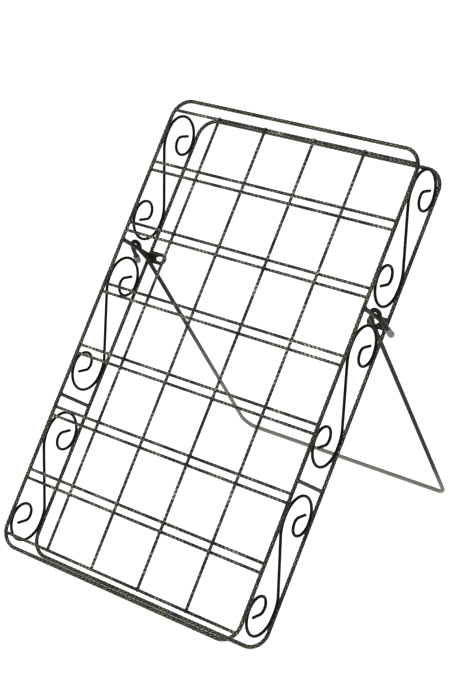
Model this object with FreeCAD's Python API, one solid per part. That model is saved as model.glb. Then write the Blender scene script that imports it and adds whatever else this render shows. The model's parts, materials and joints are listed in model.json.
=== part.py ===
import FreeCAD, Part
import os
from math import asin, atan2, cos, degrees, hypot, pi, radians, sin

os.makedirs("parts", exist_ok=True)

# A wire rack of two rounded rectangles, one behind the other, leans back on a U-shaped
# prop leg.  Sizes in mm.  The rack is drawn upright, in rack coordinates: X to the
# viewer's right, Y from the front frame back to the rear frame, Z up the frames.
# lean() then tips it back until its rear bottom bar and the leg's foot share the floor.

# --- the two frames -----------------------------------------------------------------
FRAME_W = 300.0            # between the centre lines of the side bars
FRAME_H = 496.0            # between the centre lines of the bottom and top bars
CORNER_R = 20.0            # centre line radius of the frame corners
RACK_D = 53.2              # front frame to rear frame, centre to centre
FRAME_WIRE = 4.2
LAP = 0.04                 # how far a welded wire is pressed into the one it crosses

# --- the grid over the front frame --------------------------------------------------
GRID_WIRE = 3.1
GRID_SET_BACK = 0.5        # cross wires butt into the side bars, this far behind their middle
UPRIGHT_XS = (-88.3, -29.6, 30.0, 90.0)
CELL_H = 59.8              # from one pair of cross wires to the next, less the pair's gap
PAIR_GAP = 9.1             # between the centre lines of the two wires of a pair
PAIRS = 6
PAIRS_MIDDLE = 247.65      # height of the middle of all the pairs
RAIL_BOTTOM_Z = 11.2       # single wires next to the bottom and top bars
RAIL_TOP_Z = 483.4
UPRIGHT_END = 0.3          # what an upright stands past the single wires

# --- the side scrolls ---------------------------------------------------------------
SCROLL_WIRE = 3.0
SCROLL_ENDS = {            # lowest and highest point of each scroll, all a little different
    "left": ((7.4, 148.1), (175.4, 322.6), (346.9, 485.1)),
    "right": ((13.2, 152.6), (182.6, 325.3), (346.9, 487.0)),
}
BOW_FLAT = 3.5             # how far the bow follows the side bar before its shoulder
SHOULDER_R = 30.0          # from the side bar into the diagonal
CURL_R = 15.0              # first quarter of the curl, off the other side bar
CURL_TOP_R = 10.7          # second quarter
LIP_R = 7.0                # the curl's last bend
LIP_TURN = radians(65.0)
LIP_L = 10.6               # straight end after it
END_ROUND = 0.9            # how much of the wire's radius its end is rounded by

# --- crossbars joining the frames ---------------------------------------------------
PIVOT_BAR_WIRE = 4.6
SPACER_BAR_WIRE = 4.0
PIVOT_BAR_Z = 336.0
SPACER_BAR_Z = 162.8

# --- prop leg -----------------------------------------------------------------------
LEG_WIRE = 4.6
LEG_REACH = 327.0          # pivot to the centre line of the foot bar
LEG_OPEN = radians(69.2)   # between the open leg and the rack
FOOT_HALF = 137.6          # half the leg's width at the foot
KNEE_HALF = 142.2          # half its width where the hooks begin
FOOT_LEFT_R = 16.0         # the two bends of the foot are not alike
FOOT_RIGHT_R = 9.0
KNEE_DROP = 15.0           # pivot to where an arm turns out towards its crossbar
KNEE_R = 14.0
HOOK_PLAY = 0.35           # between the hook and the sides of the crossbar
HOOK_RISE = 1.7            # pivot to the centre of the hook's bend
HOOK_CRANK = radians(28.0)
CRANK_R = 8.0
TAIL_DROP = 25.0           # pivot to the end of the tail
TAIL_FLARE = 5.0           # how far the tail spreads outwards
TIP_D = 7.0                # soft cap on the tail
TIP_L = 12.0

# --- stop rings ---------------------------------------------------------------------
RING_PITCH = 9.0           # between the two prongs of a ring
RING_REACH = 22.8          # side bar centre line to the end of the ring
STOP_GAP = 0.3             # between the open leg and its stop
WEB_REACH = 13.5           # weld metal between the prongs, from the side bar inwards
WEB_T = 3.0

HALF_W = FRAME_W / 2.0
FRAME_R = FRAME_WIRE / 2.0
GRID_R = GRID_WIRE / 2.0
PIVOT_BAR_R = PIVOT_BAR_WIRE / 2.0
SPACER_BAR_R = SPACER_BAR_WIRE / 2.0
LEG_R = LEG_WIRE / 2.0
HOOK_R = PIVOT_BAR_R + LEG_R + HOOK_PLAY
UPRIGHT_Y = GRID_SET_BACK - GRID_WIRE + LAP    # uprights lie in front of the cross wires
PIVOT_Y = RACK_D / 2.0
X_AXIS = FreeCAD.Vector(1, 0, 0)
Y_AXIS = FreeCAD.Vector(0, 1, 0)
Z_AXIS = FreeCAD.Vector(0, 0, 1)

# foot of the open leg, in rack coordinates, and the lean that puts it on the floor
FOOT_Y = PIVOT_Y + LEG_REACH * sin(LEG_OPEN)
FOOT_Z = PIVOT_BAR_Z - LEG_REACH * cos(LEG_OPEN)
STANCE = hypot(FOOT_Y - RACK_D, FOOT_Z)
LEAN = atan2(FOOT_Z, FOOT_Y - RACK_D) - asin((LEG_R - FRAME_R) / STANCE)

FRONT_EDGE = -FRAME_R
REAR_EDGE = FOOT_Y * cos(LEAN) + FOOT_Z * sin(LEAN) + LEG_R
SHIFT_Y = -(FRONT_EDGE + REAR_EDGE) / 2.0
SHIFT_Z = RACK_D * sin(LEAN) + FRAME_R


def vec(x, y, z):
    return FreeCAD.Vector(x, y, z)


def lean(shape):
    """Rack coordinates to the standing object."""
    moved = shape.copy()
    moved.rotate(vec(0, 0, 0), X_AXIS, -degrees(LEAN))
    moved.translate(vec(0, SHIFT_Y, SHIFT_Z))
    return moved


def largest(shape):
    return max(shape.Solids, key=lambda s: s.Volume)


def save(name, *solids):
    placed = [lean(s) for s in solids]
    shape = placed[0] if len(placed) == 1 else Part.makeCompound(placed)
    shape.exportStep("parts/" + name + ".step")
    volume = sum(s.Volume for s in placed)
    print(f"{name:24s} {len(shape.Solids)} solid(s) {volume:9.1f} mm3 valid {shape.isValid()}")


# --- wires --------------------------------------------------------------------------
def arc(centre, start, through, end):
    """Arc given by its centre and three directions scaled to its radius."""
    return Part.Arc(centre + start, centre + through, centre + end).toShape()


def filleted(points, radii):
    """Edges of an open path through points, each inner corner rounded to its radius."""
    edges = []
    at = points[0]
    for before, corner, after, radius in zip(points, points[1:], points[2:], radii):
        back = (before - corner).normalize()
        on = (after - corner).normalize()
        half = back.getAngle(on) / 2.0
        inset = radius * cos(half) / sin(half)
        inward = (back + on).normalize()
        first = corner + back * inset
        last = corner + on * inset
        middle = corner + inward * (radius / sin(half) - radius)
        edges.append(Part.makeLine(at, first))
        edges.append(Part.Arc(first, middle, last).toShape())
        at = last
    edges.append(Part.makeLine(at, points[-1]))
    return edges


def swept(edges, radius):
    """Round wire along a tangent path."""
    spine = Part.Wire(edges)
    start = edges[0].valueAt(edges[0].FirstParameter)
    along = edges[0].tangentAt(edges[0].FirstParameter)
    section = Part.Wire(Part.makeCircle(radius, start, along))
    wire = spine.makePipeShell([section], True, True)
    expected = pi * radius ** 2 * spine.Length
    if abs(wire.Volume / expected - 1.0) > 0.01:
        raise ValueError(f"swept wire holds {wire.Volume:.1f} mm3, not {expected:.1f}")
    return wire


def rod(start, end, radius):
    return Part.makeCylinder(radius, (end - start).Length, start, end - start)


def round_rod(start, end, radius):
    """Straight wire with domed ends; start and end are the tips of the domes."""
    along = (end - start).normalize()
    core = rod(start + along * radius, end - along * radius, radius)
    for tip in (start + along * radius, end - along * radius):
        core = core.fuse(Part.makeSphere(radius, tip))
    return core.removeSplitter()


# --- frames and grid ----------------------------------------------------------------
def frame(y):
    """Closed rounded rectangle, swept in two halves from the middle of the bottom bar."""
    halves = []
    for side in (-1, 1):
        x = side * HALF_W
        path = filleted(
            [vec(0, y, 0), vec(x, y, 0), vec(x, y, FRAME_H), vec(0, y, FRAME_H)],
            [CORNER_R, CORNER_R],
        )
        halves.append(swept(path, FRAME_R))
    return halves[0].fuse(halves[1]).removeSplitter()


def corner_reach(z):
    """Half width of the frame's centre line at a height inside a corner."""
    rise = max(0.0, CORNER_R - z)
    return HALF_W - CORNER_R + (CORNER_R ** 2 - rise ** 2) ** 0.5


def cross_wire(z, front):
    """Wire between the two sides of the front frame, its ends coped to fit the bars."""
    x = corner_reach(min(z, FRAME_H - z))
    wire = rod(vec(-x, GRID_SET_BACK, z), vec(x, GRID_SET_BACK, z), GRID_R)
    return largest(wire.cut(front))


def pair_heights():
    pitch = CELL_H + PAIR_GAP
    first = PAIRS_MIDDLE - pitch * (PAIRS - 1) / 2.0
    return [first + pitch * i for i in range(PAIRS)]


def upright(x):
    low = RAIL_BOTTOM_Z - GRID_R - UPRIGHT_END
    high = RAIL_TOP_Z + GRID_R + UPRIGHT_END
    return round_rod(vec(x, UPRIGHT_Y, low), vec(x, UPRIGHT_Y, high), GRID_R)


# --- scrolls ------------------------------------------------------------------------
def scroll_half(turn, reach):
    """Half of a scroll about its middle, from the curl's end to the middle.

    The curl turns in against one side bar, the bow goes over the top to the other, and a
    shoulder leads into the diagonal through the middle.  reach is the middle to the top
    of the bow.  turn is 1 for the upper half and -1 for the same half turned over.
    """
    bow = RACK_D / 2.0 - FRAME_R - SCROLL_WIRE / 2.0 + LAP
    rise = reach - bow
    shoulder_z = rise - BOW_FLAT
    spare = SHOULDER_R - bow
    tilt = asin(SHOULDER_R / hypot(shoulder_z, spare)) - atan2(spare, shoulder_z)

    def at(y, z):
        return vec(0, y * turn, z * turn)

    def bend(centre, radius, start, end):
        middle = (start + end) / 2.0
        return arc(centre, *(at(radius * cos(a), radius * sin(a)) for a in (start, middle, end)))

    top = at(bow - CURL_R, rise - CURL_R + CURL_TOP_R)
    lip = at(bow - CURL_R - CURL_TOP_R + LIP_R, rise - CURL_R + CURL_TOP_R)
    lip_end = lip + at(-LIP_R * cos(LIP_TURN), LIP_R * sin(LIP_TURN))
    shoulder = at(spare, shoulder_z)
    shoulder_end = shoulder - at(SHOULDER_R * cos(tilt), SHOULDER_R * sin(tilt))
    return [
        Part.makeLine(lip_end + at(LIP_L * sin(LIP_TURN), LIP_L * cos(LIP_TURN)), lip_end),
        bend(lip, LIP_R, pi - LIP_TURN, pi),
        bend(top, CURL_TOP_R, pi, 1.5 * pi),
        bend(at(bow - CURL_R, rise), CURL_R, -0.5 * pi, 0.0),
        bend(at(0, rise), bow, 0.0, pi),
        Part.makeLine(at(-bow, rise), at(-bow, shoulder_z)),
        bend(shoulder, SHOULDER_R, pi, pi + tilt),
        Part.makeLine(shoulder_end, at(0, 0)),
    ]


def scroll(x, low, high):
    radius = SCROLL_WIRE / 2.0
    halves = []
    for turn in (1, -1):
        path = scroll_half(turn, (high - low) / 2.0)
        wire = swept(path, radius)
        start = path[0].valueAt(path[0].FirstParameter)
        rim = [e for e in wire.Edges if e.isClosed() and (e.CenterOfMass - start).Length < LAP]
        halves.append(wire.makeFillet(radius * END_ROUND, rim))
    whole = halves[0].fuse(halves[1]).removeSplitter()
    whole.translate(vec(x, PIVOT_Y, (low + high) / 2.0))
    return whole


# --- crossbars and stop rings -------------------------------------------------------
def crossbar(side, z, radius, frames):
    """Bar between two side bars, its ends coped to fit round them."""
    bar = rod(vec(side * HALF_W, 0, z), vec(side * HALF_W, RACK_D, z), radius)
    for other in frames:
        bar = bar.cut(other)
    return largest(bar)


def stop_ring(side, neighbours):
    """Closed loop of frame wire inside a rear side bar, just above the open leg's arm."""
    reach_back = (RACK_D - PIVOT_Y) / sin(LEG_OPEN) * cos(LEG_OPEN)
    clear = (LEG_R + FRAME_R + STOP_GAP) / sin(LEG_OPEN)
    low = PIVOT_BAR_Z - reach_back + clear
    high = low + RING_PITCH
    x_bar = side * HALF_W
    x_end = side * (HALF_W - RING_REACH + FRAME_R)
    bend = RING_PITCH / 2.0
    loop = filleted(
        [vec(x_bar, RACK_D, low), vec(x_end, RACK_D, low), vec(x_end, RACK_D, high), vec(x_bar, RACK_D, high)],
        [bend * 0.999, bend * 0.999],
    )
    ring = swept(loop, FRAME_R)
    web = Part.makeBox(WEB_REACH, WEB_T, RING_PITCH)
    web.translate(vec(min(x_bar, x_bar - side * WEB_REACH), RACK_D - WEB_T / 2.0, low))
    ring = ring.fuse(web)
    for other in neighbours:
        ring = ring.cut(other)
    return largest(ring.removeSplitter())


# --- prop leg, drawn folded down along the rack with its pivot at the origin ---------
def arm_points(side):
    """Half of the leg from the middle of the foot to the end of the hook's tail."""
    up = vec(0, sin(HOOK_CRANK), cos(HOOK_CRANK))
    inner = side * (HALF_W - HOOK_R)
    outer = side * (HALF_W + HOOK_R)
    return up, inner, outer


def leg_half(side):
    up, inner, outer = arm_points(side)
    bend = up * HOOK_RISE + X_AXIS * (side * HALF_W)
    in_leg = bend - X_AXIS * (side * HOOK_R)
    out_leg = bend + X_AXIS * (side * HOOK_R)
    flare = outer + side * TAIL_FLARE
    rise = filleted(
        [
            vec(0, 0, -LEG_REACH),
            vec(side * FOOT_HALF, 0, -LEG_REACH),
            vec(side * KNEE_HALF, 0, -KNEE_DROP),
            vec(inner, 0, 0) - up * HOOK_RISE,
            in_leg,
        ],
        [FOOT_LEFT_R if side < 0 else FOOT_RIGHT_R, KNEE_R, CRANK_R],
    )
    over = Part.Arc(in_leg, bend + up * HOOK_R, out_leg).toShape()
    fall = filleted([out_leg, vec(outer, 0, 0) - up * HOOK_RISE, vec(flare, 0, -TAIL_DROP)], [CRANK_R])
    return rise + [over] + fall


def opened(shape):
    """From folded at the origin to open in the rack."""
    moved = shape.copy()
    moved.rotate(vec(0, 0, 0), X_AXIS, degrees(LEG_OPEN))
    moved.translate(vec(0, PIVOT_Y, PIVOT_BAR_Z))
    return moved


def prop_leg():
    halves = [swept(leg_half(side), LEG_R) for side in (-1, 1)]
    return opened(halves[0].fuse(halves[1]).removeSplitter())


def tail_tip(side):
    """Round-ended cap pushed over the end of a hook's tail."""
    end = leg_half(side)[-1]
    tip = end.valueAt(end.LastParameter)
    along = end.tangentAt(end.LastParameter)
    cap_r = TIP_D / 2.0
    mouth = tip - along * (TIP_L - cap_r)
    cap = rod(mouth, tip, cap_r).fuse(Part.makeSphere(cap_r, tip))
    bore = rod(mouth - along, tip, LEG_R)
    return opened(cap.removeSplitter().cut(bore))


def build():
    front = frame(0.0)
    rear = frame(RACK_D)
    frames = (front, rear)
    save("front_frame", front)
    save("rear_frame", rear)
    save("grid_rail_bottom", cross_wire(RAIL_BOTTOM_Z, front))
    save("grid_rail_top", cross_wire(RAIL_TOP_Z, front))
    for i, z in enumerate(pair_heights()):
        pair = [cross_wire(z + side * PAIR_GAP / 2.0, front) for side in (-1, 1)]
        save(f"cross_wires_{i + 1}", *pair)
    for i, x in enumerate(UPRIGHT_XS):
        save(f"upright_{i + 1}", upright(x))
    for name, side in (("left", -1), ("right", 1)):
        for place, (low, high) in zip(("low", "mid", "high"), SCROLL_ENDS[name]):
            save(f"scroll_{name}_{place}", scroll(side * HALF_W, low, high))
        pivot_bar = crossbar(side, PIVOT_BAR_Z, PIVOT_BAR_R, frames)
        save(f"pivot_bar_{name}", pivot_bar)
        save(f"spacer_bar_{name}", crossbar(side, SPACER_BAR_Z, SPACER_BAR_R, frames))
        save(f"stop_ring_{name}", stop_ring(side, (front, rear, pivot_bar)))
        save(f"tail_tip_{name}", tail_tip(side))
    save("prop_leg", prop_leg())
    pivot = lean(Part.Vertex(vec(0, PIVOT_Y, PIVOT_BAR_Z))).Point
    print(f"lean {degrees(LEAN):.3f} deg, pivot at Y {pivot.y:.3f} Z {pivot.z:.3f}")


build()
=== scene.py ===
import json
import math
import random

import bpy
import numpy as np
from mathutils import Matrix, Quaternion, Vector

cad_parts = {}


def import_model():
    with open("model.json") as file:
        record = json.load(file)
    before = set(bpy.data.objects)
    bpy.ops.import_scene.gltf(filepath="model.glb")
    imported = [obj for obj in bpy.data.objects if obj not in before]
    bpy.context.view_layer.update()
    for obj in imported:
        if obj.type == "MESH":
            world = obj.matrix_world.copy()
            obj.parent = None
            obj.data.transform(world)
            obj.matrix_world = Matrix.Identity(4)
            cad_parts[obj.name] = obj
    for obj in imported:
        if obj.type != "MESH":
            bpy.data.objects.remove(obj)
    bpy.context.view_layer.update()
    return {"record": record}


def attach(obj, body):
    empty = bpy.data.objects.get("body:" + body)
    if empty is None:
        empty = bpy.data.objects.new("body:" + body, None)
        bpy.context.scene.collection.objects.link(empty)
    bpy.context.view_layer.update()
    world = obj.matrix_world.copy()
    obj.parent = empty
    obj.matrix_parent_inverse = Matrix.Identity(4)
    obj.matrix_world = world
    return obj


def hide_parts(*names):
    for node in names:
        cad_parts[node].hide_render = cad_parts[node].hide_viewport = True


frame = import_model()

MM = 0.001
SEED = 11

# --- the object's sizes, as in the CAD, in metres -----------------------------------
FRAME_W, FRAME_H, CORNER_R, RACK_D = 300 * MM, 496 * MM, 20 * MM, 53.2 * MM
FRAME_R, GRID_R, SCROLL_R = 2.1 * MM, 1.55 * MM, 1.5 * MM
PIVOT_BAR_R, SPACER_BAR_R, LEG_R = 2.3 * MM, 2.0 * MM, 2.3 * MM
LAP = 0.04 * MM
GRID_SET_BACK = 0.5 * MM
UPRIGHT_XS = (-88.3 * MM, -29.6 * MM, 30 * MM, 90 * MM)
PAIRS, CELL_H, PAIR_GAP, PAIRS_MIDDLE = 6, 59.8 * MM, 9.1 * MM, 247.65 * MM
RAIL_BOTTOM_Z, RAIL_TOP_Z, UPRIGHT_END = 11.2 * MM, 483.4 * MM, 0.3 * MM
SCROLL_ENDS = {            # lowest and highest point of each scroll
    "left": ((7.4, 148.1), (175.4, 322.6), (346.9, 485.1)),
    "right": ((13.2, 152.6), (182.6, 325.3), (346.9, 487.0)),
}
BOW_FLAT, SHOULDER_R, CURL_R, CURL_TOP_R = 3.5 * MM, 30 * MM, 15 * MM, 10.7 * MM
LIP_R, LIP_TURN, LIP_L = 7 * MM, math.radians(65), 10.6 * MM
PIVOT_BAR_Z, SPACER_BAR_Z = 336 * MM, 162.8 * MM
LEG_REACH, LEG_OPEN = 327 * MM, math.radians(69.2)
FOOT_HALF, KNEE_HALF, KNEE_DROP, KNEE_R = 137.6 * MM, 142.2 * MM, 15 * MM, 14 * MM
FOOT_LEFT_R, FOOT_RIGHT_R = 16 * MM, 9 * MM
HOOK_PLAY, HOOK_RISE, HOOK_CRANK, CRANK_R = 0.35 * MM, 1.7 * MM, math.radians(28), 8 * MM
TAIL_DROP, TAIL_FLARE, TIP_R, TIP_L = 25 * MM, 5 * MM, 3.5 * MM, 12 * MM
RING_PITCH, RING_REACH, STOP_GAP, WEB_REACH, WEB_T = 9 * MM, 22.8 * MM, 0.3 * MM, 13.5 * MM, 3 * MM

# distance between a wire mesh's rings, and its sides
FRAME_MESH, RING_MESH, GRID_MESH = (0.55 * MM, 18), (0.5 * MM, 18), (0.5 * MM, 12)
SCROLL_MESH, BAR_MESH, LEG_MESH = (0.8 * MM, 16), (0.8 * MM, 20), (0.9 * MM, 20)
# a welded wire or web ends this far from its side bar's middle, in radii of the bar
GRID_END, RING_END, WEB_END = 0.6, 0.8, 0.4
# a crossbar's dome starts this far from the frame wire's surface, in radii of the crossbar
BAR_END = 0.2

HALF_W = FRAME_W / 2
HOOK_R = PIVOT_BAR_R + LEG_R + HOOK_PLAY
PIVOT_Y = RACK_D / 2
SCROLL_BOW = RACK_D / 2 - FRAME_R - SCROLL_R + LAP
UPRIGHT_Y = GRID_SET_BACK - 2 * GRID_R + LAP
FOOT_Y = PIVOT_Y + LEG_REACH * math.sin(LEG_OPEN)
FOOT_Z = PIVOT_BAR_Z - LEG_REACH * math.cos(LEG_OPEN)
STANCE = math.hypot(FOOT_Y - RACK_D, FOOT_Z)
LEAN = math.atan2(FOOT_Z, FOOT_Y - RACK_D) - math.asin((LEG_R - FRAME_R) / STANCE)

X_AXIS, Y_AXIS, Z_AXIS = Vector((1, 0, 0)), Vector((0, 1, 0)), Vector((0, 0, 1))
PIVOT = Vector(frame["record"]["behaviour"]["joints"][0]["pos_m"])
TIPPED = Matrix.Rotation(-LEAN, 4, "X")
STANDING = Matrix.Translation(PIVOT) @ TIPPED @ Matrix.Translation((0, -PIVOT_Y, -PIVOT_BAR_Z))
OPENED = Matrix.Translation(PIVOT) @ TIPPED @ Matrix.Rotation(LEG_OPEN, 4, "X")


# --- paths: runs and arcs, sampled evenly --------------------------------------------
def run(start, end):
    return ("run", Vector(start), Vector(end), (Vector(end) - Vector(start)).length)


def arc(centre, start, side, angle):
    """From centre + start, turning towards side; start and side have the arc's radius."""
    return ("arc", Vector(centre), Vector(start), Vector(side), angle, Vector(start).length * angle)


def filleted(points, radii):
    """Runs through points, each inner corner rounded to its radius."""
    points = [Vector(p) for p in points]
    parts = []
    at = points[0]
    for before, corner, after, radius in zip(points, points[1:], points[2:], radii):
        back = (before - corner).normalized()
        on = (after - corner).normalized()
        half = back.angle(on) / 2
        inset = radius / math.tan(half)
        centre = corner + (back + on).normalized() * (radius / math.sin(half))
        first = corner + back * inset
        parts.append(run(at, first))
        parts.append(arc(centre, first - centre, -back * radius, math.pi - 2 * half))
        at = corner + on * inset
    parts.append(run(at, points[-1]))
    return parts


def sampled(parts, step, closed):
    """Evenly spaced points and tangents along a path, and their distance along it."""
    ends = np.cumsum([p[-1] for p in parts])
    total = float(ends[-1])
    count = max(2, round(total / step))
    where = np.linspace(0, total, count, endpoint=False) if closed else np.linspace(0, total, count + 1)
    points, tangents = [], []
    for s in where:
        i = min(int(np.searchsorted(ends, s - 1e-9)), len(parts) - 1)
        part = parts[i]
        t = (s - (ends[i] - part[-1])) / part[-1]
        if part[0] == "run":
            points.append(part[1].lerp(part[2], t))
            tangents.append((part[2] - part[1]).normalized())
        else:
            _, centre, start, side, angle, _ = part
            points.append(centre + start * math.cos(t * angle) + side * math.sin(t * angle))
            tangents.append((side * math.cos(t * angle) - start * math.sin(t * angle)).normalized())
    return points, tangents, where, total


# --- wire surfaces -------------------------------------------------------------------
def smoothstep(low, high, x):
    t = np.clip((x - low) / (high - low), 0, 1)
    return t * t * (3 - 2 * t)


def rope(strands, lead, depth, groove, proud):
    """Strands wound round the wire, parted by rounded grooves and standing a little proud."""
    def surface(s, phi, total):
        turns = round(total / lead)
        u = (phi / (2 * math.pi) - s / total * turns) * strands
        high = smoothstep(0, groove, np.abs(u - np.round(u)))
        return 1 + proud - depth * (1 - high), high
    return surface


BOSS_EDGE = (-0.12, 0.42)      # where a boss starts to rise, and where it is full height


def leaves(rows, pitch, depth):
    """Staggered oval bosses in rows along the wire."""
    def surface(s, phi, total):
        turns = round(total / pitch)
        wave = np.cos(rows * phi) * np.cos(2 * math.pi * turns * s / total)
        high = smoothstep(*BOSS_EDGE, wave)
        return 1 - depth * (1 - high), high
    return surface


WAVE_ALONG, WAVE_ROUND = 210, 57    # radians per metre of wire


def plain(waviness, coat=0.0):
    """Drawn wire, very slightly uneven, under a coat of paint."""
    def surface(s, phi, total):
        wave = np.sin(s * WAVE_ALONG + 1.3) * np.sin(s * WAVE_ROUND + phi) * 0.5 + 0.5
        return 1 + coat - waviness * wave, wave
    return surface


def mesh_object(name, verts, faces, relief):
    mesh = bpy.data.meshes.new(name)
    mesh.from_pydata([tuple(v) for v in verts], [], faces)
    attribute = mesh.attributes.new("relief", "FLOAT", "POINT")
    attribute.data.foreach_set("value", np.asarray(relief, np.float32))
    mesh.validate()
    mesh.polygons.foreach_set("use_smooth", np.ones(len(mesh.polygons), bool))
    mesh.update()
    obj = bpy.data.objects.new(name, mesh)
    bpy.context.collection.objects.link(obj)
    return obj


DOME = (0.35, 0.68, 0.9)   # sines of the dome rings from the wire's end inwards


def wire_geometry(parts, radius, surface, density, closed, place):
    """Vertices, faces and relief of one wire, with domed ends where it is open."""
    step, sides = density
    points, tangents, where, total = sampled(parts, step, closed)
    centres = np.array([place @ p for p in points])
    turn = place.to_3x3()
    along = np.array([(turn @ t).normalized() for t in tangents])
    normal = Vector(along[0]).orthogonal().normalized()
    normals = []
    for i, t in enumerate(along):
        t = Vector(t)
        if i:
            normal = Vector(along[i - 1]).rotation_difference(t) @ normal
        normal = (normal - t * normal.dot(t)).normalized()
        normals.append(normal)
    normals = np.array(normals)
    across = np.cross(along, normals)
    phi = np.linspace(0, 2 * math.pi, sides, endpoint=False)
    if closed:
        # share out the twist left after one turn round the path
        last = Vector(along[-1]).rotation_difference(Vector(along[0])) @ Vector(normals[-1])
        left = math.atan2(last.dot(Vector(across[0])), last.dot(Vector(normals[0])))
        phase = -left * where / total
    else:
        phase = np.zeros(len(where))
    scale, relief = surface(where[:, None], phi[None, :], total)
    angle = phi[None, :] + phase[:, None]
    ring = normals[:, None, :] * np.cos(angle)[..., None] + across[:, None, :] * np.sin(angle)[..., None]
    verts = centres[:, None, :] + ring * (radius * scale)[..., None]
    relief = np.broadcast_to(relief, scale.shape)
    rings = list(verts)
    heights = list(relief)
    if not closed:
        for first, sign in ((True, -1.0), (False, 1.0)):
            at = 0 if first else -1
            for sine in reversed(DOME):
                out = math.sqrt(1 - sine * sine) * radius * sign
                shrunk = centres[at] + (verts[at] - centres[at]) * sine + along[at] * out
                if first:
                    rings.insert(0, shrunk)
                    heights.insert(0, relief[at])
                else:
                    rings.append(shrunk)
                    heights.append(relief[at])
    flat = np.concatenate(rings)
    height = list(np.concatenate(heights))
    count = len(rings)
    faces = []
    last_ring = count if closed else count - 1
    for i in range(last_ring):
        a, b = i * sides, ((i + 1) % count) * sides
        for j in range(sides):
            k = (j + 1) % sides
            faces.append((a + j, a + k, b + k, b + j))
    if not closed:
        tips = [centres[0] - along[0] * radius, centres[-1] + along[-1] * radius]
        flat = np.concatenate([flat, tips])
        height += [height[0], height[-1]]
        start, end = len(flat) - 2, len(flat) - 1
        top = (count - 1) * sides
        for j in range(sides):
            k = (j + 1) % sides
            faces.append((start, k, j))
            faces.append((end, top + j, top + k))
    return flat, faces, height


def joined(name, pieces):
    """One object from several (vertices, faces, relief) lists."""
    verts, faces, relief = [], [], []
    for v, f, h in pieces:
        base = sum(len(x) for x in verts)
        verts.append(v)
        faces += [tuple(i + base for i in face) for face in f]
        relief += list(h)
    return mesh_object(name, np.concatenate(verts), faces, relief)


# --- materials -----------------------------------------------------------------------
class Nodes:
    """A material with a Principled shader and short calls for its other nodes."""

    def __init__(self, name):
        self.material = bpy.data.materials.new(name)
        self.material.use_nodes = True
        self.tree = self.material.node_tree
        self.tree.nodes.clear()
        self.shader = self.add("ShaderNodeBsdfPrincipled")
        output = self.add("ShaderNodeOutputMaterial")
        self.link(self.shader.outputs["BSDF"], output.inputs["Surface"])
        self.where = self.add("ShaderNodeTexCoord").outputs["Object"]

    def add(self, kind, **values):
        node = self.tree.nodes.new(kind)
        for key, value in values.items():
            setattr(node, key, value)
        return node

    def link(self, a, b):
        self.tree.links.new(a, b)

    def noise(self, scale, detail=3.0, rough=0.55):
        node = self.add("ShaderNodeTexNoise")
        node.inputs["Scale"].default_value = scale
        node.inputs["Detail"].default_value = detail
        node.inputs["Roughness"].default_value = rough
        self.link(self.where, node.inputs["Vector"])
        return node.outputs["Fac"]

    def relief(self):
        return self.add("ShaderNodeAttribute", attribute_name="relief").outputs["Fac"]

    def math(self, operation, a, b):
        node = self.add("ShaderNodeMath", operation=operation)
        for socket, value in zip(node.inputs, (a, b)):
            if isinstance(value, (int, float)):
                socket.default_value = value
            else:
                self.link(value, socket)
        return node.outputs[0]

    def span(self, value, low, high, out_low=0.0, out_high=1.0):
        node = self.add("ShaderNodeMapRange", clamp=True, interpolation_type="SMOOTHSTEP")
        self.link(value, node.inputs["Value"])
        ends = {"From Min": low, "From Max": high, "To Min": out_low, "To Max": out_high}
        for key, number in ends.items():
            node.inputs[key].default_value = number
        return node.outputs["Result"]

    def mix(self, factor, a, b):
        node = self.add("ShaderNodeMix", data_type="RGBA")
        sockets = [s for s in node.inputs if s.type == "RGBA"]
        self.link(factor, node.inputs["Factor"])
        for socket, value in zip(sockets, (a, b)):
            if isinstance(value, tuple):
                socket.default_value = (*value, 1.0)
            else:
                self.link(value, socket)
        return next(s for s in node.outputs if s.type == "RGBA")

    def bump(self, height, distance, strength=1.0):
        node = self.add("ShaderNodeBump")
        node.inputs["Distance"].default_value = distance
        node.inputs["Strength"].default_value = strength
        self.link(height, node.inputs["Height"])
        self.link(node.outputs["Normal"], self.shader.inputs["Normal"])

    def set(self, **values):
        for key, value in values.items():
            self.shader.inputs[key.replace("_", " ")].default_value = value


# --- finishes: colours are linear, scales are in cycles per metre ---------------------
BLOTCH_SCALE, SPECK_SCALE = 55, 900
RELIEF_SHARE, BLOTCH_SHARE, SPECK_SHARE = 0.62, 0.36, 0.5
CLOUD_SCALE, FLECK_SCALE, PEEL_SCALE, CAP_SCALE, CAP_GRAIN_SCALE = 70, 1500, 420, 160, 700
# painted highlight on the leg, paler towards the floor: noise scale and unevenness
HIGHLIGHT_SCALE, HIGHLIGHT_UNEVEN = 12, 0.04
HIGHLIGHT_TILT, HIGHLIGHT_RATE = 10.7, 2.5    # the painted highlight ends sooner by this much per metre of X, and at X 0
HIGHLIGHT_FULL = 0.03
PATCHY, MIDDLING = (0.35, 0.65), (0.3, 0.7)    # spans of noise, sharper and softer
WORN_METAL, WORN_ROUGH = (0.05, 0.75), (0.42, 0.62)
DUST_SPOT = (0.66, 0.74)


def antique(name, dark, patina, bright, cover, ramp):
    """Black paint rubbed back to pale metal on the high places of the embossing."""
    n = Nodes(name)
    blotch = n.noise(BLOTCH_SCALE, 4)
    speck = n.noise(SPECK_SCALE, 2, 0.7)
    raised = n.math("MULTIPLY", n.relief(), RELIEF_SHARE)
    worn = n.math("ADD", raised, n.math("MULTIPLY", blotch, BLOTCH_SHARE))
    worn = n.math("ADD", worn, n.math("MULTIPLY", speck, SPECK_SHARE))
    base = n.mix(n.span(blotch, *PATCHY), dark, patina)
    n.link(n.mix(n.span(worn, cover, cover + ramp), base, bright), n.shader.inputs["Base Color"])
    n.link(n.span(worn, cover, cover + ramp, *WORN_METAL), n.shader.inputs["Metallic"])
    n.link(n.span(speck, *MIDDLING, *WORN_ROUGH), n.shader.inputs["Roughness"])
    n.set(Specular_IOR_Level=0.25)
    n.bump(speck, 0.12 * MM, 0.6)
    return n.material


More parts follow.
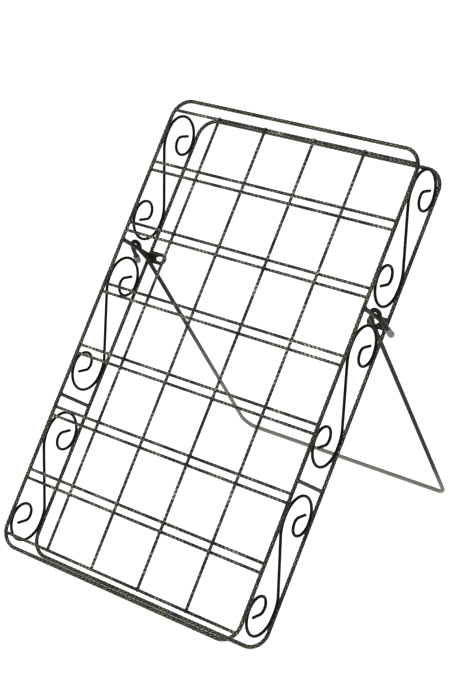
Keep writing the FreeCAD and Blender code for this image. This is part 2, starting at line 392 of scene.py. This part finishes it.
def lacquer(name, colour, dusty, rough, shine=0.3, painted_highlight=None, highlight_below=0.0):
    """Smooth dipped paint over drawn wire, with faint orange peel, dust and pale dust spots, and where
    given a painted highlight that pales it towards the floor.
    """
    n = Nodes(name)
    cloud = n.noise(CLOUD_SCALE, 4)
    fleck = n.noise(FLECK_SCALE, 2, 0.7)
    base = n.mix(n.span(cloud, *MIDDLING), colour, dusty)
    if painted_highlight:
        # painted highlight: paler towards the floor, unevenly, and further up on the left, standing in for
        # the light the foot catches from above
        place = n.add("ShaderNodeSeparateXYZ")
        n.link(n.where, place.inputs["Vector"])
        sooner = n.math("ADD", n.math("MULTIPLY", place.outputs["X"], HIGHLIGHT_TILT), HIGHLIGHT_RATE)
        uneven = n.math("MULTIPLY", place.outputs["Z"], sooner)
        uneven = n.math("ADD", uneven, n.math("MULTIPLY", n.noise(HIGHLIGHT_SCALE, 3), HIGHLIGHT_UNEVEN))
        base = n.mix(n.span(uneven, HIGHLIGHT_FULL, highlight_below, 1.0, 0.0), base, painted_highlight)
    pale = tuple(c * 4 + 0.08 for c in dusty)
    n.link(n.mix(n.span(fleck, *DUST_SPOT), base, pale), n.shader.inputs["Base Color"])
    n.link(n.span(cloud, *MIDDLING, rough - 0.05, rough + 0.09), n.shader.inputs["Roughness"])
    n.set(Specular_IOR_Level=shine)
    n.bump(n.noise(PEEL_SCALE, 3), 0.08 * MM, 0.5)
    return n.material


def vinyl(name, colour, grubby):
    """Soft dipped cap."""
    n = Nodes(name)
    cloud = n.noise(CAP_SCALE, 4)
    n.link(n.mix(n.span(cloud, *PATCHY), colour, grubby), n.shader.inputs["Base Color"])
    n.link(n.span(cloud, *MIDDLING, 0.42, 0.6), n.shader.inputs["Roughness"])
    n.bump(n.noise(CAP_GRAIN_SCALE, 3), 0.05 * MM, 0.5)
    return n.material


FRAME_FINISH = antique("frame_antique", (0.008, 0.008, 0.004), (0.020, 0.020, 0.010),
                       (0.56, 0.52, 0.37), cover=0.93, ramp=0.26)
GRID_FINISH = antique("grid_antique", (0.007, 0.007, 0.004), (0.018, 0.018, 0.010),
                      (0.68, 0.66, 0.56), cover=1.02, ramp=0.18)
SCROLL_FINISH = lacquer("scroll_black", (0.002, 0.002, 0.0015), (0.005, 0.005, 0.004), 0.46, 0.06)
BAR_FINISH = lacquer("bar_black", (0.008, 0.008, 0.007), (0.018, 0.018, 0.015), 0.42, 0.2)
# the leg's paler foot and lower left arm are a painted highlight, standing in for light from above
LEG_FINISH = lacquer("leg_grey_green", (0.006, 0.007, 0.004), (0.015, 0.017, 0.010), 0.42, 0.12,
                     painted_highlight=(0.178, 0.186, 0.160), highlight_below=0.25)
WELD_FINISH = lacquer("weld_black", (0.006, 0.006, 0.005), (0.016, 0.015, 0.011), 0.5, 0.15)
TIP_FINISH = vinyl("tip_grey", (0.24, 0.24, 0.24), (0.16, 0.16, 0.16))


def finished(obj, body, slot, material, *nodes):
    """The piece takes its material, rides on its body and stands for its CAD nodes."""
    obj.data.materials.clear()
    obj.data.materials.append(material)
    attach(obj, body)
    if nodes:
        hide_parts(*nodes)
    return obj


# --- frames and grid -----------------------------------------------------------------
SCROLL_SURFACE = plain(0.03, 0.06)
BAR_SURFACE = plain(0.02)
LEG_SURFACE = plain(0.015)
FRAME_SURFACE = leaves(4, 5.2 * MM, 0.06)
GRID_SURFACE = rope(2, 9.4 * MM, 0.13, 0.24, 0.08)


def frame_path(y):
    """Closed rounded rectangle from the middle of the bottom bar."""
    h, r = HALF_W, CORNER_R
    corners = [(-h, y, 0), (-h, y, FRAME_H), (h, y, FRAME_H), (h, y, 0)]
    return filleted([(0, y, 0), *corners, (0, y, 0)], [r, r, r, r])


for name, y in (("front_frame", 0.0), ("rear_frame", RACK_D)):
    piece = joined(name + "_wire", [
        wire_geometry(frame_path(y), FRAME_R, FRAME_SURFACE, FRAME_MESH, True, STANDING)])
    finished(piece, "rack", "frame_wire", FRAME_FINISH, name)


def corner_reach(z):
    rise = max(0.0, CORNER_R - z)
    return HALF_W - CORNER_R + math.sqrt(CORNER_R ** 2 - rise ** 2)


def cross_wire(z):
    x = corner_reach(min(z, FRAME_H - z)) - FRAME_R * GRID_END - GRID_R
    return wire_geometry([run((-x, GRID_SET_BACK, z), (x, GRID_SET_BACK, z))],
                         GRID_R, GRID_SURFACE, GRID_MESH, False, STANDING)


def pair_heights():
    pitch = CELL_H + PAIR_GAP
    first = PAIRS_MIDDLE - pitch * (PAIRS - 1) / 2
    return [first + pitch * i for i in range(PAIRS)]


for name, z in (("grid_rail_bottom", RAIL_BOTTOM_Z), ("grid_rail_top", RAIL_TOP_Z)):
    finished(joined(name + "_wire", [cross_wire(z)]), "rack", "grid_wire", GRID_FINISH, name)
for i, z in enumerate(pair_heights()):
    pair = [cross_wire(z - PAIR_GAP / 2), cross_wire(z + PAIR_GAP / 2)]
    node = f"cross_wires_{i + 1}"
    finished(joined(node + "_twist", pair), "rack", "grid_wire", GRID_FINISH, node)
for i, x in enumerate(UPRIGHT_XS):
    path = [run((x, UPRIGHT_Y, RAIL_BOTTOM_Z - UPRIGHT_END), (x, UPRIGHT_Y, RAIL_TOP_Z + UPRIGHT_END))]
    piece = joined(f"upright_{i + 1}_twist", [
        wire_geometry(path, GRID_R, GRID_SURFACE, GRID_MESH, False, STANDING)])
    finished(piece, "rack", "grid_wire", GRID_FINISH, f"upright_{i + 1}")


# --- scrolls -------------------------------------------------------------------------
def scroll_path(x, low, high):
    """The whole scroll, upper curl to lower curl, turned half round for the lower half."""
    middle = Vector((x, PIVOT_Y, (low + high) / 2))
    rise = (high - low) / 2 - SCROLL_BOW
    shoulder_z, spare = rise - BOW_FLAT, SHOULDER_R - SCROLL_BOW
    tilt = math.asin(SHOULDER_R / math.hypot(shoulder_z, spare)) - math.atan2(spare, shoulder_z)
    parts = []
    for turn in (1, -1):
        back, up = Y_AXIS * turn, Z_AXIS * turn
        top_z = rise - CURL_R + CURL_TOP_R
        lip = middle + back * (SCROLL_BOW - CURL_R - CURL_TOP_R + LIP_R) + up * top_z
        lip_start = (up * math.sin(LIP_TURN) - back * math.cos(LIP_TURN)) * LIP_R
        lip_side = (-back * math.sin(LIP_TURN) - up * math.cos(LIP_TURN)) * LIP_R
        free = (back * math.sin(LIP_TURN) + up * math.cos(LIP_TURN)) * LIP_L
        shoulder = middle + back * spare + up * shoulder_z
        shoulder_end = shoulder - (back * math.cos(tilt) + up * math.sin(tilt)) * SHOULDER_R
        half = [
            run(lip + lip_start + free, lip + lip_start),
            arc(lip, lip_start, lip_side, LIP_TURN),
            arc(middle + back * (SCROLL_BOW - CURL_R) + up * top_z,
                -back * CURL_TOP_R, -up * CURL_TOP_R, math.pi / 2),
            arc(middle + back * (SCROLL_BOW - CURL_R) + up * rise,
                -up * CURL_R, back * CURL_R, math.pi / 2),
            arc(middle + up * rise, back * SCROLL_BOW, up * SCROLL_BOW, math.pi),
            run(middle - back * SCROLL_BOW + up * rise, middle - back * SCROLL_BOW + up * shoulder_z),
            arc(shoulder, -back * SHOULDER_R, -up * SHOULDER_R, tilt),
            run(shoulder_end, middle),
        ]
        if turn == 1:
            parts += half
        else:
            parts += [backwards(p) for p in reversed(half)]
    return parts


def backwards(part):
    if part[0] == "run":
        return run(part[2], part[1])
    _, centre, start, side, angle, _ = part
    end = start * math.cos(angle) + side * math.sin(angle)
    back = start * math.sin(angle) - side * math.cos(angle)
    return arc(centre, end, back, angle)


SCROLLS = [(f"scroll_{name}_{place}", side * HALF_W, low * MM, high * MM)
           for name, side in (("left", -1), ("right", 1))
           for place, (low, high) in zip(("low", "mid", "high"), SCROLL_ENDS[name])]
for node, x, low, high in SCROLLS:
    wire = wire_geometry(scroll_path(x, low, high), SCROLL_R, SCROLL_SURFACE, SCROLL_MESH, False, STANDING)
    finished(joined(node + "_wire", [wire]), "rack", "scroll_wire", SCROLL_FINISH, node)


# --- crossbars -----------------------------------------------------------------------
CROSSBARS = (("pivot_bar", PIVOT_BAR_Z, PIVOT_BAR_R), ("spacer_bar", SPACER_BAR_Z, SPACER_BAR_R))

for side_name, side in (("left", -1), ("right", 1)):
    for kind, z, radius in CROSSBARS:
        reach = FRAME_R + radius * BAR_END
        path = [run((side * HALF_W, reach, z), (side * HALF_W, RACK_D - reach, z))]
        piece = joined(f"{kind}_{side_name}_rod", [
            wire_geometry(path, radius, BAR_SURFACE, BAR_MESH, False, STANDING)])
        finished(piece, "rack", "bar_wire", BAR_FINISH, f"{kind}_{side_name}")


# --- stop rings ----------------------------------------------------------------------
def ring_heights():
    reach_back = (RACK_D - PIVOT_Y) / math.tan(LEG_OPEN)
    low = PIVOT_BAR_Z - reach_back + (LEG_R + FRAME_R + STOP_GAP) / math.sin(LEG_OPEN)
    return low, low + RING_PITCH


WEB_CELLS = 14
WEB_BAY = 0.35                        # depth of the bay in its free edge, as a share of the reach
WEB_MIDDLE_T, WEB_PRONG_T = 0.72, 0.28    # thickness at mid height, and what each prong adds
WEB_RIPPLE = 0.12 * MM


def web_geometry(side):
    """Weld metal filling the ring next to the side bar, sunk a little between the prongs."""
    low, high = ring_heights()
    verts, faces = [], []
    across = up = WEB_CELLS
    for face_side in (-1, 1):
        for i in range(across + 1):
            for j in range(up + 1):
                a, b = i / across, j / up
                edge = 1 - WEB_BAY * math.sin(math.pi * b) ** 2
                x = side * (HALF_W - FRAME_R * WEB_END - (WEB_REACH - FRAME_R * WEB_END) * a * edge)
                ripple = WEB_RIPPLE * math.sin(9 * a + 3) * math.sin(7 * b + 1)
                bulge = WEB_T / 2 * (WEB_MIDDLE_T + WEB_PRONG_T * abs(2 * b - 1)) + ripple
                verts.append(STANDING @ Vector((x, RACK_D + face_side * bulge, low + (high - low) * b)))
    row = up + 1
    sheet = (across + 1) * row
    for i in range(across):
        for j in range(up):
            a = i * row + j
            faces.append((a, a + 1, a + row + 1, a + row))
            faces.append((sheet + a, sheet + a + row, sheet + a + row + 1, sheet + a + 1))
    for i in range(across):
        for j in (0, up):
            a, b = i * row + j, (i + 1) * row + j
            faces.append((a, b, sheet + b, sheet + a))
    for j in range(up):
        for i in (0, across):
            a, b = i * row + j, i * row + j + 1
            faces.append((a, b, sheet + b, sheet + a))
    return np.array(verts), faces, [0.0] * len(verts)


for side_name, side in (("left", -1), ("right", 1)):
    low, high = ring_heights()
    x_bar, x_end = side * (HALF_W - FRAME_R * RING_END), side * (HALF_W - RING_REACH + FRAME_R)
    bend = RING_PITCH / 2 * 0.999
    corners = [(x_bar, RACK_D, low), (x_end, RACK_D, low), (x_end, RACK_D, high), (x_bar, RACK_D, high)]
    path = filleted(corners, [bend, bend])
    ring = joined(f"stop_ring_{side_name}_wire", [
        wire_geometry(path, FRAME_R, FRAME_SURFACE, RING_MESH, False, STANDING)])
    finished(ring, "rack", "frame_wire", FRAME_FINISH, f"stop_ring_{side_name}")
    web = joined(f"stop_ring_{side_name}_web", [web_geometry(side)])
    finished(web, "rack", "frame_wire", WELD_FINISH)


# --- weld beads ----------------------------------------------------------------------
BEAD_ROWS, BEAD_COLS, BEAD_RELIEF = 7, 12, 0.3
BEAD_ROUND, BEAD_ALONG = 0.10, 0.08    # unevenness round the bead and from end to end
BOW_BEAD = (1.6 * MM, 0.7 * MM, 3.2 * MM)


def bead(at, size, rng):
    """Small uneven lump of weld metal at a rack position, size along each rack axis."""
    verts, faces = [], []
    rows, cols = BEAD_ROWS, BEAD_COLS
    wobble = [rng.uniform(0, 2 * math.pi) for _ in range(4)]
    for i in range(rows + 1):
        lat = math.pi * i / rows - math.pi / 2
        for j in range(cols):
            lon = 2 * math.pi * j / cols
            swell = 1 + BEAD_ROUND * math.sin(2 * lon + wobble[0]) * math.cos(lat)
            swell += BEAD_ALONG * math.sin(3 * lat + wobble[1])
            unit = Vector((math.cos(lat) * math.cos(lon), math.cos(lat) * math.sin(lon), math.sin(lat)))
            local = Vector((unit.x * size[0], unit.y * size[1], unit.z * size[2])) * swell
            verts.append(STANDING @ (Vector(at) + local))
    for i in range(rows):
        for j in range(cols):
            k = (j + 1) % cols
            faces.append((i * cols + j, i * cols + k, (i + 1) * cols + k, (i + 1) * cols + j))
    return np.array(verts), faces, [BEAD_RELIEF] * len(verts)


def weld_beads():
    rng = random.Random(SEED)
    beads = []
    for _, x, low, high in SCROLLS:
        # both sides of each bow, where it meets the front bar and the rear bar
        for z in (low + SCROLL_BOW, high - SCROLL_BOW):
            for y in (FRAME_R, RACK_D - FRAME_R):
                beads.append(bead((x, y, z), BOW_BEAD, rng))
    for side in (-1, 1):
        x = side * HALF_W
        for _, z, radius in CROSSBARS:
            for y in (FRAME_R, RACK_D - FRAME_R):
                size = (radius + 0.3 * MM, 0.9 * MM, radius + 0.5 * MM)
                beads.append(bead((x, y, z), size, rng))
        for z in pair_heights():
            for half in (-1, 1):
                at = (x - side * FRAME_R * 0.95, GRID_SET_BACK, z + half * PAIR_GAP / 2)
                size = (0.8 * MM, GRID_R + 0.25 * MM, GRID_R + 0.35 * MM)
                beads.append(bead(at, size, rng))
    return beads


finished(joined("weld_beads", weld_beads()), "rack", "frame_wire", WELD_FINISH)


# --- prop leg ------------------------------------------------------------------------
def leg_half(side):
    """Half of the folded leg, from the middle of its foot to the end of the hook's tail."""
    up = Vector((0, math.sin(HOOK_CRANK), math.cos(HOOK_CRANK)))
    inner, outer = side * (HALF_W - HOOK_R), side * (HALF_W + HOOK_R)
    bend = up * HOOK_RISE + X_AXIS * (side * HALF_W)
    in_leg = bend - X_AXIS * (side * HOOK_R)
    out_leg = bend + X_AXIS * (side * HOOK_R)
    rise = filleted([
        Vector((0, 0, -LEG_REACH)),
        Vector((side * FOOT_HALF, 0, -LEG_REACH)),
        Vector((side * KNEE_HALF, 0, -KNEE_DROP)),
        Vector((inner, 0, 0)) - up * HOOK_RISE,
        in_leg,
    ], [FOOT_LEFT_R if side < 0 else FOOT_RIGHT_R, KNEE_R, CRANK_R])
    over = [arc(bend, in_leg - bend, up * HOOK_R, math.pi)]
    fall = filleted([
        out_leg,
        Vector((outer, 0, 0)) - up * HOOK_RISE,
        Vector((outer + side * TAIL_FLARE, 0, -TAIL_DROP)),
    ], [CRANK_R])
    return rise + over + fall


leg_path = [backwards(p) for p in reversed(leg_half(-1))] + leg_half(1)
leg_wire = wire_geometry(leg_path, LEG_R, LEG_SURFACE, LEG_MESH, False, OPENED)
finished(joined("prop_leg_wire", [leg_wire]), "prop_leg", "leg_wire", LEG_FINISH, "prop_leg")


# the cap's side from its mouth on: share of its length, share of its radius
CAP_PROFILE = ((0.0, 0.66), (0.02, 0.84), (0.07, 0.97), (0.14, 1.0),
               (0.22, 0.95), (0.34, 0.93), (0.5, 0.96))
CAP_SIDES, CAP_END_RINGS, CAP_END_TURN = 24, 8, 1.45


def tip_geometry(side):
    """Dipped cap: a rolled mouth, a slight waist and a round end."""
    last = leg_half(side)[-1]
    along = (last[2] - last[1]).normalized()
    tip = last[2]
    mouth = tip - along * (TIP_L - TIP_R)
    length = (tip - mouth).length
    rings = [(length * a, TIP_R * b) for a, b in CAP_PROFILE]
    turns = np.linspace(0, CAP_END_TURN, CAP_END_RINGS)
    rings += [(length + TIP_R * math.sin(t), TIP_R * math.cos(t)) for t in turns]
    across = along.orthogonal().normalized()
    other = along.cross(across)
    sides = CAP_SIDES
    verts = []
    for out, radius in rings:
        for j in range(sides):
            a = 2 * math.pi * j / sides
            outward = across * math.cos(a) + other * math.sin(a)
            verts.append(OPENED @ (mouth + along * out + outward * radius))
    faces = []
    for i in range(len(rings) - 1):
        for j in range(sides):
            k = (j + 1) % sides
            faces.append((i * sides + j, i * sides + k, (i + 1) * sides + k, (i + 1) * sides + j))
    verts.append(OPENED @ (mouth + along * (length + TIP_R)))
    end = len(verts) - 1
    base = (len(rings) - 1) * sides
    for j in range(sides):
        faces.append((base + j, base + (j + 1) % sides, end))
    faces.append(tuple(reversed(range(sides))))
    return np.array(verts), faces, [0.0] * len(verts)


for side_name, side in (("left", -1), ("right", 1)):
    cap = joined(f"tail_tip_{side_name}_cap", [tip_geometry(side)])
    finished(cap, "prop_leg", "tip_cap", TIP_FINISH, f"tail_tip_{side_name}")


# --- floor, light and camera ---------------------------------------------------------
FLOOR_GLOW = 0.62
FLOOR_HALF = 6.0
WORLD_LIGHT = 0.3
LAMPS = (   # name, place, size and watts
    ("key", (-0.9, -1.5, 2.1), (1.2, 1.2), 26),
    ("fill", (1.9, -0.7, 1.3), (1.4, 1.0), 10),
    ("top", (0.0, 0.6, 2.4), (1.6, 1.0), 14),
)
LIT_POINT = (0.0, 0.0, 0.2)


def floor():
    n = Nodes("floor_paper")
    n.link(n.mix(n.span(n.noise(3, 2), 0.3, 0.7), (0.93, 0.93, 0.925), (0.95, 0.95, 0.945)),
           n.shader.inputs["Base Color"])
    # a backlit sweep, burnt out to white
    n.set(Roughness=0.9, Specular_IOR_Level=0.1)
    n.set(Emission_Color=(1.0, 1.0, 1.0, 1.0), Emission_Strength=FLOOR_GLOW)
    corners = [(-FLOOR_HALF, -FLOOR_HALF, 0), (FLOOR_HALF, -FLOOR_HALF, 0),
               (FLOOR_HALF, FLOOR_HALF, 0), (-FLOOR_HALF, FLOOR_HALF, 0)]
    mesh = bpy.data.meshes.new("floor")
    mesh.from_pydata(corners, [], [(0, 1, 2, 3)])
    obj = bpy.data.objects.new("floor", mesh)
    mesh.materials.append(n.material)
    bpy.context.collection.objects.link(obj)


def area_light(name, at, aim, size, power):
    light = bpy.data.lights.new(name, "AREA")
    light.shape = "RECTANGLE"
    light.size, light.size_y = size
    light.energy = power
    obj = bpy.data.objects.new(name, light)
    obj.location = at
    obj.rotation_euler = (Vector(aim) - Vector(at)).to_track_quat("-Z", "Y").to_euler()
    bpy.context.collection.objects.link(obj)


def world(strength):
    scene_world = bpy.data.worlds.new("studio")
    bpy.context.scene.world = scene_world
    scene_world.use_nodes = True
    tree = scene_world.node_tree
    background = tree.nodes["Background"]
    background.inputs["Color"].default_value = (1.0, 1.0, 1.0, 1.0)
    seen = tree.nodes.new("ShaderNodeLightPath").outputs["Is Camera Ray"]
    level = tree.nodes.new("ShaderNodeMapRange")
    level.inputs["To Min"].default_value = strength
    level.inputs["To Max"].default_value = 1.0
    tree.links.new(seen, level.inputs["Value"])
    tree.links.new(level.outputs["Result"], background.inputs["Strength"])


VIEW_AZIMUTH, VIEW_ELEVATION, VIEW_ROLL = math.radians(38.116), math.radians(25.79), math.radians(-1.08)
VIEW_FROM = Vector((0.91460, -1.16758, 0.93312))
LENS = 84.09


def camera():
    data = bpy.data.cameras.new("camera")
    data.lens = LENS
    data.sensor_width = 36
    obj = bpy.data.objects.new("camera", data)
    ahead = Vector((-math.sin(VIEW_AZIMUTH) * math.cos(VIEW_ELEVATION),
                    math.cos(VIEW_AZIMUTH) * math.cos(VIEW_ELEVATION),
                    -math.sin(VIEW_ELEVATION)))
    facing = ahead.to_track_quat("-Z", "Y") @ Quaternion((0, 0, 1), VIEW_ROLL)
    obj.rotation_mode = "QUATERNION"
    obj.rotation_quaternion = facing
    obj.location = VIEW_FROM
    bpy.context.collection.objects.link(obj)
    bpy.context.scene.camera = obj


floor()
world(WORLD_LIGHT)
for lamp_name, at, size, power in LAMPS:
    area_light(lamp_name, at, LIT_POINT, size, power)
camera()
bpy.context.scene.view_settings.view_transform = "Standard"
